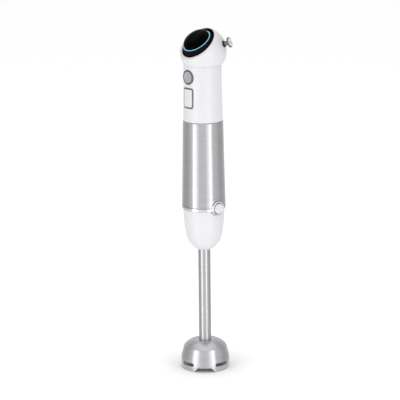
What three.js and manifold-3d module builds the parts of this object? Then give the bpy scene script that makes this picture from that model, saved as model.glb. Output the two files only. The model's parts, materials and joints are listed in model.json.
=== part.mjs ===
// Immersion blender, standing on its bell.
// Millimetres, +Z up, origin at the centre of the bell's rim on the surface it stands on.
// The front, with the dial and the two grip buttons, faces -Y; the release buttons are at +X and -X.

import * as THREE from 'three';
import { mergeVertices } from 'three/addons/utils/BufferGeometryUtils.js';
import Module from 'manifold-3d';

const wasm = await Module();
wasm.setup();

// ---------------------------------------------------------------- driving dimensions

const GAP = 0.3;                    // between touching pieces
const SKIN_STEPS = 32;              // sides of the outer shells
const INNER_STEPS = 16;             // sides of the pieces inside

// Heights of the seams
const BELL_TOP_Z = 34.9;
const HOUSING_BOTTOM_Z = 150.3;
const HOUSING_TOP_Z = 201.7;
const TRIM_BOTTOM_Z = 202.1;
const TRIM_TOP_Z = 205.2;
const SLEEVE_TOP_Z = 309.3;
const HEAD_SEAM_Z = 376.8;
const HEAD_CENTRE_Z = 393.3;
const HEAD_SETBACK = 1.4;           // the head's centre lies this far behind the handle's axis

// Bell
const BELL_RADIUS = 29.6;
const BELL_WALL = 1.4;
const BELL_BORE = 6.7;
const CREASE_Z = 27;                // where the dome meets the skirt
const CREASE_RADIUS = 26.2;
const BELL_TURN = THREE.MathUtils.degToRad(4);      // of its notches and slots about the axis
const NOTCH_HEIGHT = 5.6;
const NOTCH_BOTTOM_WIDTH = 26;
const NOTCH_TOP_WIDTH = 16.8;
const SLOT_Z = 8.8;
const SLOT_HEIGHT = 4.2;
const SLOT_LENGTH = 18.6;

// Shaft
const TUBE_RADIUS = 7.45;
const TUBE_WALL = 1;
const TUBE_TOP_Z = 171.5;
const SHAFT_RADIUS = 2.5;
const TUBE_SPIGOT_RADIUS = 6.15;    // of the bushes pressed into the tube
const SHAFT_BORE = 2.8;             // bores that the drive shaft and the motor shaft turn in
const BUSH_FLANGE_BOTTOM_Z = 29.8;
const BUSH_FLANGE_TOP_Z = 33.2;
const BUSH_FLANGE_RADIUS = 8.6;
const BUSH_TOP_Z = 48;
const SEAL_BOTTOM_Z = 26;
const SEAL_TOP_Z = 29.5;
const SEAL_RADIUS = 7.4;
const UPPER_BUSH_BOTTOM_Z = 158;
const UPPER_BUSH_FLANGE_Z = 172.3;
const UPPER_BUSH_TOP_Z = 175;
const UPPER_BUSH_FLANGE_RADIUS = 10.4;
const DRIVE_SHAFT_BOTTOM_Z = 12;
const DRIVE_SHAFT_TOP_Z = 185.6;

// Blade
const BLADE_Z = 16.6;
const BLADE_THICKNESS = 1.5;
const BLADE_RADIUS = 21.5;
const BLADE_BEND_X = 12;            // the wing rises outwards from here
const BLADE_RISE = 0.5;
const BLADE_CENTRE_RADIUS = 6.4;
const HUB_RADIUS = 5.4;
const HUB_TOP_Z = 25.6;
const NUT_RADIUS = 4.9;
const NUT_HEIGHT = 3.2;

// Coupling between the shaft and the motor
const LOBES = 6;
const DRIVEN_COLLAR_BOTTOM_Z = 175.8;
const DRIVEN_COLLAR_TOP_Z = 182;
const DRIVEN_COLLAR_RADIUS = 7.4;
const DRIVEN_TOP_Z = 190.5;
const DRIVEN_LOBE_RADIUS = 6.3;
const DRIVEN_ROOT_RADIUS = 4.8;
const LOBE_CLEARANCE = 0.8;
const DRIVE_CUP_RADIUS = 9.5;
const DRIVE_CUP_BOTTOM_Z = 184;
const DRIVE_CUP_FLOOR_Z = 191.2;
const DRIVE_CUP_TOP_Z = 200;

// Motor unit
const SLEEVE_BOTTOM_RADIUS = 26.45;
const SLEEVE_MIDDLE_RADIUS = 25.2;
const SLEEVE_MIDDLE_Z = 260;
const SLEEVE_TOP_RADIUS = 24.3;
const SLEEVE_WALL = 1;
const CHASSIS_WALL = 1.8;
const GRIP_BOTTOM_RADIUS = 23.8;
const GRIP_TOP_RADIUS = 22.65;
const GRIP_WALL = 2.2;
const SPIGOT_RADIUS = 20;
const SPIGOT_BOTTOM_Z = 186;
const TRIM_RADIUS = 26.7;

// Motor
const STATOR_RADIUS = 20;
const STATOR_BOTTOM_Z = 239;
const STATOR_HEIGHT = 28;
const YOKE_INNER_RADIUS = 17.6;
const POLE_OUTER_RADIUS = 15;
const POLE_BORE = 12.4;
const ARMATURE_RADIUS = 11.9;
const BRUSH_Z = 282;
const BRUSH_SIDE = 3.8;
const BRUSH_HOLDER_SIDE = 7;
const LOWER_BEARING_Z = 218.5;
const UPPER_BEARING_Z = 294;
const BEARING_HEIGHT = 6;
const BRIDGE_HEIGHT = 4;
const COMMUTATOR_RADIUS = 6.5;
const COMMUTATOR_BOTTOM_Z = 276;
const COMMUTATOR_TOP_Z = 288;
const MOTOR_SHAFT_BOTTOM_Z = 193.5;
const MOTOR_SHAFT_TOP_Z = 299;
const FAN_RADIUS = 17;
const FAN_HUB_RADIUS = 5.5;
const FAN_BOTTOM_Z = 223;
const FAN_PLATE = 1.4;
const FAN_VANE_HEIGHT = 5;

// Head and dial
const HEAD_RADIUS = 28.2;
const HEAD_WALL = 2.2;
const DIAL_TILT = THREE.MathUtils.degToRad(37);
const RIM_TILT = THREE.MathUtils.degToRad(6.5);     // the flat rim stands higher behind the dial
const DIAL_FACE = 13.2;             // head centre to the flat rim around the dial
const DIAL_FLOOR = 7.9;             // head centre to the floor of the dial's pocket
const DIAL_POCKET_RADIUS = 22.5;
const DIAL_BASE_RADIUS = 22.2;
const DIAL_BASE_BORE = 21.6;
const DIAL_BASE_TOP = 9.2;
const DIAL_SHOULDER = 16.4;         // head centre to the light ring
const DIAL_CROWN = 24.2;            // head centre to the top of the cap
const SKIRT_RADIUS = 21.1;
const RING_INNER_RADIUS = 16.9;
const RING_OUTER_RADIUS = 17.9;
const SPINDLE_RADIUS = 3;
const SPINDLE_BOSS_BORE = 4.2;      // the hole in the head for the spindle

// Grip buttons
const TURBO_Z = 364;
const TURBO_BEZEL_RADIUS = 8.8;
const TURBO_BUTTON_RADIUS = 7;
const TURBO_FACE_Y = 23.1;
const POWER_Z = 338.9;
const POWER_WIDTH = 17.4;
const POWER_HEIGHT = 24.6;
const POWER_CORNER = 3;
const POWER_FRAME = 1.5;
const BUTTON_PROUD = 0.5;           // of the power button, outside the grip's surface
const BEZEL_PROUD = 0.25;
const BOARD_Y = -9.8;
const BOARD_THICKNESS = 1.6;
const SWITCH_FACE_Y = 17.2;         // in front of the axis
const PLUNGER_LENGTH = 2;

// Release buttons
const RELEASE_Z = 205;
const RELEASE_BEZEL_RADIUS = 8.75;
const RELEASE_BEZEL_BORE = 6.2;
const RELEASE_BUTTON_RADIUS = 5.9;
const RELEASE_BEZEL_FACE = 28.25;   // distance from the axis
const RELEASE_BUTTON_FACE = 29.45;
const RELEASE_STEM_RADIUS = 2.4;
const RELEASE_PLATE_X = 14.6;       // of the latch plate behind the socket's wall
const HOOK_Z = 190.6;
const HOOK_X = 17.8;
const HOOK_SIZE = new THREE.Vector3(7, 6, 4.4);

// Gland
const GLAND_DIRECTION = new THREE.Vector3(0.826, 0.458, 0.329).normalize();
const GLAND_NECK_RADIUS = 2.75;
const GLAND_FLANGE_RADIUS = 6.4;
const GLAND_TIP = 36.5;             // head centre to the flange's face
const GLAND_BORE = 1.5;
const GLAND_ROOT = 24.4;            // head centre to the neck's inner end
const GASKET_RADIUS = 3.9;
const GASKET_BOTTOM = 27.7;
const GASKET_TOP = 29.6;
const GLAND_BUSH_RADIUS = 4.9;

// ---------------------------------------------------------------- shapes

const DEG = Math.PI / 180;

// A closed body as the boolean library takes it: welded, without slivers, with its faces pointing out.
function solidOf(geometry) {
  const bare = geometry.clone();
  bare.deleteAttribute('normal');
  bare.deleteAttribute('uv');
  const welded = mergeVertices(bare, 1e-4);
  const place = welded.getAttribute('position');
  const corner = [0, 1, 2].map(() => new THREE.Vector3());
  const faces = [];
  let volume = 0;
  for (let i = 0; i < welded.index.count; i += 3) {
    const face = [0, 1, 2].map((k) => welded.index.getX(i + k));
    if (new Set(face).size < 3) continue;
    face.forEach((vertex, k) => corner[k].fromBufferAttribute(place, vertex));
    volume += corner[0].dot(corner[1].clone().cross(corner[2]));
    faces.push(face);
  }
  const order = volume < 0 ? [0, 2, 1] : [0, 1, 2];
  const triVerts = Uint32Array.from(faces.flatMap((face) => order.map((k) => face[k])));
  const vertProperties = Float32Array.from(place.array);
  return new wasm.Manifold(new wasm.Mesh({ numProp: 3, vertProperties, triVerts }));
}

function geometryOf(solid) {
  const mesh = solid.getMesh();
  const geometry = new THREE.BufferGeometry();
  geometry.setAttribute('position', new THREE.BufferAttribute(mesh.vertProperties, 3));
  geometry.setIndex(new THREE.BufferAttribute(mesh.triVerts, 1));
  geometry.computeVertexNormals();
  return geometry;
}

function whole(geometry) {
  return geometryOf(solidOf(geometry));
}

function join(first, ...others) {
  return geometryOf(others.reduce((sum, other) => sum.add(solidOf(other)), solidOf(first)));
}

function cut(first, ...tools) {
  return geometryOf(tools.reduce((rest, tool) => rest.subtract(solidOf(tool)), solidOf(first)));
}

function common(first, second) {
  return geometryOf(solidOf(first).intersect(solidOf(second)));
}

// A body turned about Z from [radius, height] points. A bored profile is closed on itself.
function turned(profile, steps = INNER_STEPS) {
  const points = profile.map(([radius, z]) => new THREE.Vector2(radius, z));
  const bored = profile.every(([radius]) => radius > 0);
  if (bored) points.push(points[0].clone());
  return whole(new THREE.LatheGeometry(points, steps).rotateX(Math.PI / 2));
}

function ring(outer, inner, bottom, top, steps = INNER_STEPS) {
  return turned([[inner, bottom], [outer, bottom], [outer, top], [inner, top]], steps);
}

function disc(radius, bottom, top, steps = INNER_STEPS) {
  return turned([[0, bottom], [radius, bottom], [radius, top], [0, top]], steps);
}

// An outline drawn in X and Y, from height bottom to height top.
function prism(shape, bottom, top, curveSegments = 6) {
  const options = { depth: top - bottom, bevelEnabled: false, curveSegments };
  return new THREE.ExtrudeGeometry(shape, options).translate(0, 0, bottom);
}

function box(width, depth, height, x, y, z) {
  return new THREE.BoxGeometry(width, depth, height).translate(x, y, z);
}

function roundedRectangle(width, height, radius) {
  const x = width / 2;
  const y = height / 2;
  const shape = new THREE.Shape();
  shape.moveTo(-x + radius, -y);
  shape.lineTo(x - radius, -y);
  shape.absarc(x - radius, -y + radius, radius, -Math.PI / 2, 0);
  shape.lineTo(x, y - radius);
  shape.absarc(x - radius, y - radius, radius, 0, Math.PI / 2);
  shape.lineTo(-x + radius, y);
  shape.absarc(-x + radius, y - radius, radius, Math.PI / 2, Math.PI);
  shape.lineTo(-x, -y + radius);
  shape.absarc(-x + radius, -y + radius, radius, Math.PI, 1.5 * Math.PI);
  return shape;
}

function polygon(points) {
  return new THREE.Shape(points.map(([x, y]) => new THREE.Vector2(x, y)));
}

// A sector of a ring, centred on the +X direction.
function sector(inner, outer, halfAngle) {
  const shape = new THREE.Shape();
  shape.absarc(0, 0, outer, -halfAngle, halfAngle, false);
  shape.absarc(0, 0, inner, halfAngle, -halfAngle, true);
  return shape;
}

// Points on circles of alternating radii: slotted cores, lobed couplings and hexagons.
function star(count, radiusOf, perTurn) {
  const points = [];
  for (let i = 0; i < count * perTurn; i += 1) {
    const angle = (2 * Math.PI * i) / (count * perTurn);
    const radius = radiusOf(i % perTurn);
    points.push([radius * Math.cos(angle), radius * Math.sin(angle)]);
  }
  return polygon(points);
}

// ---------------------------------------------------------------- materials

function finish(colour, roughness, metalness = 0) {
  return () => new THREE.MeshStandardMaterial({ color: colour, roughness, metalness });
}

const white = finish(0xf0f0f2, 0.35);
const brushedSteel = finish(0xb4b5b8, 0.34, 1);
const chrome = finish(0xd6d8dc, 0.12, 1);
const darkChrome = finish(0x6c6e74, 0.2, 1);
const silver = finish(0xa9abb2, 0.3, 0.8);
const gloss = finish(0x050506, 0.06);
const blackPlastic = finish(0x101113, 0.45);
const greyPlastic = finish(0x55585d, 0.5);
const rubber = finish(0x1a1a1b, 0.85);
const bronze = finish(0xb08550, 0.4, 1);
const copper = finish(0xb8643c, 0.35, 1);
const steel = finish(0x8f9196, 0.3, 1);
const laminations = finish(0x5c5e62, 0.5, 0.9);
const carbon = finish(0x2a2a2b, 0.7);
const board = finish(0x1d5a38, 0.55);
const light = finish(0x63bfe0, 0.3);

const blender = new THREE.Group();

function place(parent, name, material, geometry) {
  const mesh = new THREE.Mesh(geometry, material());
  mesh.name = name;
  parent.add(mesh);
  return mesh;
}

// ---------------------------------------------------------------- frames of the turned parts

function frameAt(position, turn) {
  const group = new THREE.Group();
  group.position.copy(position);
  group.quaternion.copy(turn);
  group.updateMatrixWorld();
  blender.add(group);
  return group;
}

function turnTo(direction) {
  return new THREE.Quaternion().setFromUnitVectors(new THREE.Vector3(0, 0, 1), direction);
}

const headCentre = new THREE.Vector3(0, HEAD_SETBACK, HEAD_CENTRE_Z);
const dialDirection = new THREE.Vector3(0, -Math.sin(DIAL_TILT), Math.cos(DIAL_TILT));
const dialFrame = frameAt(headCentre, turnTo(dialDirection));
const glandFrame = frameAt(headCentre, turnTo(GLAND_DIRECTION));
const sides = [
  { side: 'right', sign: 1 },
  { side: 'left', sign: -1 },
].map(({ side, sign }) => {
  const outward = new THREE.Quaternion().setFromAxisAngle(new THREE.Vector3(0, 1, 0), sign * Math.PI / 2);
  return { side, sign, frame: frameAt(new THREE.Vector3(0, 0, RELEASE_Z), outward) };
});

function inFrame(geometry, frame) {
  return geometry.clone().applyMatrix4(frame.matrixWorld);
}

// ---------------------------------------------------------------- bell

const bellTop = BELL_TOP_Z - 0.2;
const bellOutside = [[TUBE_RADIUS + GAP, bellTop], [11, BELL_TOP_Z], [15, 34.4], [18.6, 33.2], [21.8, 31.4],
  [24.3, 29.2], [CREASE_RADIUS, CREASE_Z], [27.7, 20.8], [29, 15.4], [BELL_RADIUS, 11], [BELL_RADIUS, 0]];
const bellInside = [[BELL_RADIUS - BELL_WALL, 0], [BELL_RADIUS - BELL_WALL, 10.8], [27.6, 15], [26.3, 20.3],
  [24.9, 26.2], [23.2, 28.1], [21, 30.1], [18, 31.8], [14.8, 33], [11, BELL_TOP_Z - BELL_WALL],
  [BELL_BORE, BELL_TOP_Z - BELL_WALL], [BELL_BORE, bellTop]];

function bellGuard() {
  const overrun = 2;
  const notch = polygon([
    [-NOTCH_BOTTOM_WIDTH / 2 - overrun, -overrun],
    [NOTCH_BOTTOM_WIDTH / 2 + overrun, -overrun],
    [NOTCH_TOP_WIDTH / 2, NOTCH_HEIGHT],
    [-NOTCH_TOP_WIDTH / 2, NOTCH_HEIGHT],
  ]);
  const slot = roundedRectangle(SLOT_LENGTH, SLOT_HEIGHT, SLOT_HEIGHT / 2 - 0.01);
  const inner = BELL_RADIUS / 2;
  const outer = BELL_RADIUS + 10;
  const tools = [0, 1, 2, 3].flatMap((k) => {
    const turn = BELL_TURN + (k * Math.PI) / 2;
    return [
      prism(notch, inner, outer).rotateX(Math.PI / 2).rotateZ(turn + Math.PI / 4),
      prism(slot, inner, outer, 3).rotateX(Math.PI / 2).translate(0, 0, SLOT_Z).rotateZ(turn),
    ];
  });
  return cut(turned([...bellOutside, ...bellInside], SKIN_STEPS + 8), ...tools);
}

place(blender, 'bell_guard', brushedSteel, bellGuard());

// ---------------------------------------------------------------- blending shaft

place(blender, 'shaft_tube', brushedSteel,
  ring(TUBE_RADIUS, TUBE_RADIUS - TUBE_WALL, bellTop + GAP, TUBE_TOP_Z, SKIN_STEPS));

place(blender, 'bell_bush', bronze, turned([[SHAFT_BORE, BUSH_FLANGE_BOTTOM_Z],
  [BUSH_FLANGE_RADIUS, BUSH_FLANGE_BOTTOM_Z], [BUSH_FLANGE_RADIUS, BUSH_FLANGE_TOP_Z],
  [TUBE_SPIGOT_RADIUS, BUSH_FLANGE_TOP_Z], [TUBE_SPIGOT_RADIUS, BUSH_TOP_Z], [SHAFT_BORE, BUSH_TOP_Z]]));

place(blender, 'lip_seal', rubber, turned([[SHAFT_BORE, SEAL_BOTTOM_Z], [SEAL_RADIUS - 2, SEAL_BOTTOM_Z],
  [SEAL_RADIUS, SEAL_BOTTOM_Z + 1.4], [SEAL_RADIUS, SEAL_TOP_Z], [SHAFT_BORE, SEAL_TOP_Z]]));

place(blender, 'upper_bush', greyPlastic, turned([[SHAFT_BORE, UPPER_BUSH_BOTTOM_Z],
  [TUBE_SPIGOT_RADIUS, UPPER_BUSH_BOTTOM_Z], [TUBE_SPIGOT_RADIUS, UPPER_BUSH_FLANGE_Z],
  [UPPER_BUSH_FLANGE_RADIUS, UPPER_BUSH_FLANGE_Z], [UPPER_BUSH_FLANGE_RADIUS, UPPER_BUSH_TOP_Z],
  [SHAFT_BORE, UPPER_BUSH_TOP_Z]]));

const housingOutside = [[TUBE_RADIUS + GAP, HOUSING_BOTTOM_Z], [9, 150.5], [12.9, 153], [18, 159],
  [20.4, 163.6], [22.4, 172], [24, 183], [25, HOUSING_TOP_Z]];
const housingInside = [[22.8, HOUSING_TOP_Z], [22.1, 184], [19.6, 172], [15.4, 161.4], [11, 159],
  [11, 172], [TUBE_RADIUS + GAP, 172]];

const bezelClearance = RELEASE_BEZEL_RADIUS + GAP;

// The round opening for a release bezel, from a distance off the axis outwards.
function releaseOpening(frame, from) {
  return inFrame(disc(bezelClearance, from, 40, 24), frame);
}

function lowerHousing() {
  const shell = turned([...housingOutside, ...housingInside], SKIN_STEPS);
  return cut(shell, ...sides.map(({ frame }) => releaseOpening(frame, 17)));
}

place(blender, 'lower_housing', white, lowerHousing());

// ---------------------------------------------------------------- blade and drive shaft

place(blender, 'drive_shaft', steel, disc(SHAFT_RADIUS, DRIVE_SHAFT_BOTTOM_Z, DRIVE_SHAFT_TOP_Z));
place(blender, 'blade_hub', steel, ring(HUB_RADIUS, SHAFT_BORE, BLADE_Z + BLADE_THICKNESS + GAP, HUB_TOP_Z));

// Half an S: a wing that sweeps back along its length and ends in a raised tip.
function bladeWing() {
  const outline = new THREE.Shape();
  outline.moveTo(0, -4.6);
  outline.bezierCurveTo(7, -5.6, 14, -4.6, BLADE_RADIUS - 1, 1.4);
  outline.lineTo(BLADE_RADIUS - 2.4, 5);
  outline.bezierCurveTo(15, 1.6, 9, 3.6, 0, 4.6);
  const reach = 40;
  const flat = prism(outline, 0, BLADE_THICKNESS, 6);
  const root = common(flat, box(reach, reach, reach, BLADE_BEND_X - reach / 2, 0, 0));
  const tip = common(flat, box(reach, reach, reach, BLADE_BEND_X + reach / 2, 0, 0));
  const spot = tip.getAttribute('position');
  for (let i = 0; i < spot.count; i += 1) {
    spot.setZ(i, spot.getZ(i) + BLADE_RISE * (spot.getX(i) - BLADE_BEND_X));
  }
  return join(root, tip);
}

function blade() {
  const wing = bladeWing();
  const opposite = wing.clone().scale(-1, -1, -1).translate(0, 0, BLADE_THICKNESS);
  const centre = disc(BLADE_CENTRE_RADIUS, 0, BLADE_THICKNESS);
  const plate = join(wing, opposite, centre);
  return cut(plate, disc(SHAFT_BORE, -1, BLADE_THICKNESS + 1)).translate(0, 0, BLADE_Z);
}

place(blender, 'blade', steel, blade());

function bladeNut() {
  const top = BLADE_Z - GAP;
  const hexagon = prism(star(6, () => NUT_RADIUS, 1), top - NUT_HEIGHT, top);
  return cut(hexagon, disc(SHAFT_BORE, 0, BLADE_Z, 16));
}

place(blender, 'blade_nut', steel, bladeNut());

// ---------------------------------------------------------------- coupling

const lobed = (outer, inner) => star(LOBES, (k) => (k < 2 ? outer : inner), 4);

function drivenCoupling() {
  const collar = disc(DRIVEN_COLLAR_RADIUS, DRIVEN_COLLAR_BOTTOM_Z, DRIVEN_COLLAR_TOP_Z);
  const outline = lobed(DRIVEN_LOBE_RADIUS, DRIVEN_ROOT_RADIUS);
  const lobes = prism(outline, DRIVEN_COLLAR_TOP_Z - 0.01, DRIVEN_TOP_Z);
  const socket = disc(SHAFT_BORE, DRIVEN_COLLAR_BOTTOM_Z - 1, DRIVE_SHAFT_TOP_Z + 3 * GAP);
  return cut(join(collar, lobes), socket);
}

function driveCoupling() {
  const cup = disc(DRIVE_CUP_RADIUS, DRIVE_CUP_BOTTOM_Z, DRIVE_CUP_TOP_Z);
  const outline = lobed(DRIVEN_LOBE_RADIUS + LOBE_CLEARANCE, DRIVEN_ROOT_RADIUS + LOBE_CLEARANCE);
  const cavity = prism(outline, DRIVE_CUP_BOTTOM_Z - 1, DRIVE_CUP_FLOOR_Z);
  return cut(cup, cavity, disc(SHAFT_BORE, MOTOR_SHAFT_BOTTOM_Z - 0.5, DRIVE_CUP_TOP_Z + 1));
}

place(blender, 'driven_coupling', greyPlastic, drivenCoupling());
place(blender, 'drive_coupling', blackPlastic, driveCoupling());

// ---------------------------------------------------------------- motor unit's lower end

function couplingSocket() {
  const shell = turned([[18, SPIGOT_BOTTOM_Z], [SPIGOT_RADIUS, SPIGOT_BOTTOM_Z],
    [SPIGOT_RADIUS, TRIM_BOTTOM_Z], [24.3, TRIM_BOTTOM_Z], [24.3, TRIM_TOP_Z], [6, TRIM_TOP_Z],
    [6, TRIM_BOTTOM_Z], [18, TRIM_BOTTOM_Z]], SKIN_STEPS);
  const latchSlot = HOOK_SIZE.y + 4 * GAP;
  const cuts = sides.flatMap(({ frame, sign }) => [
    releaseOpening(frame, SPIGOT_RADIUS + GAP),
    inFrame(disc(RELEASE_STEM_RADIUS + 2 * GAP, 14, 24), frame),
    box(7, latchSlot, 8, sign * (RELEASE_PLATE_X - 1.2), 0, TRIM_TOP_Z - 1.6),
    box(8, latchSlot, HOOK_SIZE.z + 2, sign * (HOOK_X + 1.2), 0, HOOK_Z),
  ]);
  return cut(shell, ...cuts);
}

place(blender, 'coupling_socket', greyPlastic, couplingSocket());

// The trim is broken by the two release bezels, so it is a front and a rear piece.
function trimHalf(facing) {
  const band = ring(TRIM_RADIUS, 24.6, TRIM_BOTTOM_Z, TRIM_TOP_Z, SKIN_STEPS);
  const half = common(band, box(80, 40, 20, 0, facing * 20, RELEASE_Z));
  return cut(half, ...sides.map(({ frame }) => releaseOpening(frame, 15)));
}

place(blender, 'trim_ring_front', chrome, trimHalf(-1));
place(blender, 'trim_ring_rear', chrome, trimHalf(1));

function steelSleeve() {
  const bottom = TRIM_TOP_Z + GAP;
  const shell = turned([
    [SLEEVE_BOTTOM_RADIUS, bottom],
    [SLEEVE_MIDDLE_RADIUS, SLEEVE_MIDDLE_Z],
    [SLEEVE_TOP_RADIUS, SLEEVE_TOP_Z],
    [SLEEVE_TOP_RADIUS - SLEEVE_WALL, SLEEVE_TOP_Z],
    [SLEEVE_MIDDLE_RADIUS - SLEEVE_WALL, SLEEVE_MIDDLE_Z],
    [SLEEVE_BOTTOM_RADIUS - SLEEVE_WALL, bottom],
  ], SKIN_STEPS);
  return cut(shell, ...sides.map(({ frame }) => releaseOpening(frame, 15)));
}

place(blender, 'steel_sleeve', brushedSteel, steelSleeve());

const chassisAt = {
  bottom: SLEEVE_BOTTOM_RADIUS - SLEEVE_WALL - GAP,
  middle: SLEEVE_MIDDLE_RADIUS - SLEEVE_WALL - GAP,
  top: SLEEVE_TOP_RADIUS - SLEEVE_WALL - GAP,
};

function motorChassis() {
  const bottom = TRIM_TOP_Z + GAP;
  const shell = turned([
    [chassisAt.bottom, bottom],
    [chassisAt.middle, SLEEVE_MIDDLE_Z],
    [chassisAt.top, SLEEVE_TOP_Z],
    [chassisAt.top - CHASSIS_WALL, SLEEVE_TOP_Z],
    [chassisAt.middle - CHASSIS_WALL, SLEEVE_MIDDLE_Z],
    [chassisAt.bottom - CHASSIS_WALL, bottom],
  ], SKIN_STEPS);
  return cut(shell, ...sides.map(({ frame }) => releaseOpening(frame, 15)));
}

place(blender, 'motor_chassis', greyPlastic, motorChassis());

// ---------------------------------------------------------------- motor

function statorCore() {
  const top = STATOR_BOTTOM_Z + STATOR_HEIGHT;
  const yoke = ring(STATOR_RADIUS, YOKE_INNER_RADIUS, STATOR_BOTTOM_Z, top, 32);
  const shoe = sector(POLE_BORE, POLE_OUTER_RADIUS, 52 * DEG);
  const neck = sector(POLE_OUTER_RADIUS - 1, YOKE_INNER_RADIUS + 1, 17 * DEG);
  const poles = [0, Math.PI].flatMap((turn) => [
    prism(shoe, STATOR_BOTTOM_Z, top, 8).rotateZ(turn),
    prism(neck, STATOR_BOTTOM_Z, top, 3).rotateZ(turn),
  ]);
  return join(yoke, ...poles);
}

place(blender, 'stator_core', laminations, statorCore());

// A coil wound round a pole's neck, bent to the curve of the yoke.
function fieldCoil(turn) {
  const overhang = 4;
  const inner = POLE_OUTER_RADIUS + GAP;
  const outer = YOKE_INNER_RADIUS - GAP;
  const bottom = STATOR_BOTTOM_Z - overhang;
  const top = STATOR_BOTTOM_Z + STATOR_HEIGHT + overhang;
  const block = prism(sector(inner, outer, 36 * DEG), bottom, top, 6);
  const window = prism(sector(inner - 1, outer + 1, 18.5 * DEG), STATOR_BOTTOM_Z - GAP,
    STATOR_BOTTOM_Z + STATOR_HEIGHT + GAP, 3);
  return cut(block, window).rotateZ(turn);
}

place(blender, 'field_coil_right', copper, fieldCoil(0));
place(blender, 'field_coil_left', copper, fieldCoil(Math.PI));

// A bearing in the middle of the bridge that holds it
function bearingAt(end, z, bridgeRadius, bearingRadius) {
  const halfBridge = BRIDGE_HEIGHT / 2;
  const halfBearing = BEARING_HEIGHT / 2;
  place(blender, `${end}_bridge`, blackPlastic,
    ring(bridgeRadius, bearingRadius + GAP, z - halfBridge, z + halfBridge));
  place(blender, `${end}_bearing`, steel, ring(bearingRadius, SHAFT_BORE, z - halfBearing, z + halfBearing));
}

bearingAt('lower', LOWER_BEARING_Z, 22.2, 8);
bearingAt('upper', UPPER_BEARING_Z, 20.6, 7);

place(blender, 'motor_shaft', steel, disc(SHAFT_RADIUS, MOTOR_SHAFT_BOTTOM_Z, MOTOR_SHAFT_TOP_Z));

function armatureCore() {
  const poles = 10;
  const outline = star(poles, (k) => (k < 3 ? ARMATURE_RADIUS : 8.6), 5);
  const core = prism(outline, STATOR_BOTTOM_Z, STATOR_BOTTOM_Z + STATOR_HEIGHT);
  return cut(core, disc(SHAFT_BORE, MOTOR_SHAFT_BOTTOM_Z, MOTOR_SHAFT_TOP_Z));
}

place(blender, 'armature_core', laminations, armatureCore());

const windingProfile = [[4, 0], [9.4, 0], [10.6, 2], [10.6, 5.5], [8, 7.6], [4, 7.6]];
const lowerWinding = windingProfile.map(([radius, z]) => [radius, STATOR_BOTTOM_Z - GAP - z]);
const upperWinding = windingProfile.map(([radius, z]) => [radius, STATOR_BOTTOM_Z + STATOR_HEIGHT + GAP + z]);
place(blender, 'armature_winding_lower', copper, turned(lowerWinding));
place(blender, 'armature_winding_upper', copper, turned(upperWinding));
place(blender, 'commutator', copper,
  ring(COMMUTATOR_RADIUS, SHAFT_BORE, COMMUTATOR_BOTTOM_Z, COMMUTATOR_TOP_Z));

function coolingFan() {
  const blades = 7;
  const plateTop = FAN_BOTTOM_Z + FAN_PLATE;
  const plate = ring(FAN_RADIUS, SHAFT_BORE, FAN_BOTTOM_Z, plateTop, 28);
  const hub = ring(FAN_HUB_RADIUS, SHAFT_BORE, FAN_BOTTOM_Z, plateTop + FAN_VANE_HEIGHT);
  const vaneFrom = FAN_HUB_RADIUS - 0.3;
  const vaneTo = FAN_RADIUS - 0.3;
  const vanes = [];
  for (let i = 0; i < blades; i += 1) {
    const height = FAN_VANE_HEIGHT + 0.4;
    const vane = box(vaneTo - vaneFrom, 1.4, height, (vaneFrom + vaneTo) / 2, 0, plateTop - 0.4 + height / 2);
    vanes.push(vane.rotateZ((2 * Math.PI * i) / blades));
  }
  return join(plate, hub, ...vanes);
}

place(blender, 'cooling_fan', greyPlastic, coolingFan());

[['front', -1], ['rear', 1]].forEach(([end, facing]) => {
  const bore = BRUSH_SIDE + 2 * GAP;
  const brush = box(BRUSH_SIDE, 7, BRUSH_SIDE, 0, facing * 10.3, BRUSH_Z);
  const sleeve = box(BRUSH_HOLDER_SIDE, 10, BRUSH_HOLDER_SIDE, 0, facing * 15, BRUSH_Z);
  place(blender, `carbon_brush_${end}`, carbon, whole(brush));
  place(blender, `brush_holder_${end}`, bronze, cut(sleeve, box(bore, 20, bore, 0, facing * 15, BRUSH_Z)));
});

// ---------------------------------------------------------------- grip

const gripOutside = [[GRIP_BOTTOM_RADIUS, SLEEVE_TOP_Z + GAP], [23.3, 334], [22.85, 360],
  [GRIP_TOP_RADIUS, HEAD_SEAM_Z - GAP]];
const gripInside = gripOutside.map(([radius, z]) => [radius - GRIP_WALL, z]).reverse();

// Upright tools that pass through the front wall, from one distance in front of the axis to another.
function throughFront(shape, z, from, to, curveSegments = 6) {
  return prism(shape, from, to, curveSegments).rotateX(Math.PI / 2).translate(0, 0, z);
}

function circle(radius) {
  return new THREE.Shape().absarc(0, 0, radius, 0, 2 * Math.PI);
}

function gripShell() {
  const shell = turned([...gripOutside, ...gripInside], SKIN_STEPS);
  const powerHole = roundedRectangle(POWER_WIDTH + 2 * GAP, POWER_HEIGHT + 2 * GAP, POWER_CORNER + GAP);
  return cut(
    shell,
    throughFront(circle(TURBO_BEZEL_RADIUS + GAP), TURBO_Z, 10, 40, 12),
    throughFront(powerHole, POWER_Z, 10, 40, 4),
  );
}

place(blender, 'grip_shell', white, gripShell());

// A band that follows the grip's curve, standing proud of it.
function gripBand(proud, thickness) {
  const outer = gripOutside.map(([radius, z]) => [radius + proud, z]);
  const inner = gripOutside.map(([radius, z]) => [radius + proud - thickness, z]).reverse();
  return turned([...outer, ...inner], 64);
}

function powerBezel() {
  const outline = roundedRectangle(POWER_WIDTH, POWER_HEIGHT, POWER_CORNER);
  outline.holes.push(roundedRectangle(POWER_WIDTH - 2 * POWER_FRAME, POWER_HEIGHT - 2 * POWER_FRAME,
    POWER_CORNER - POWER_FRAME));
  return common(gripBand(BEZEL_PROUD, 3), throughFront(outline, POWER_Z, 10, 40, 4));
}

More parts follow.
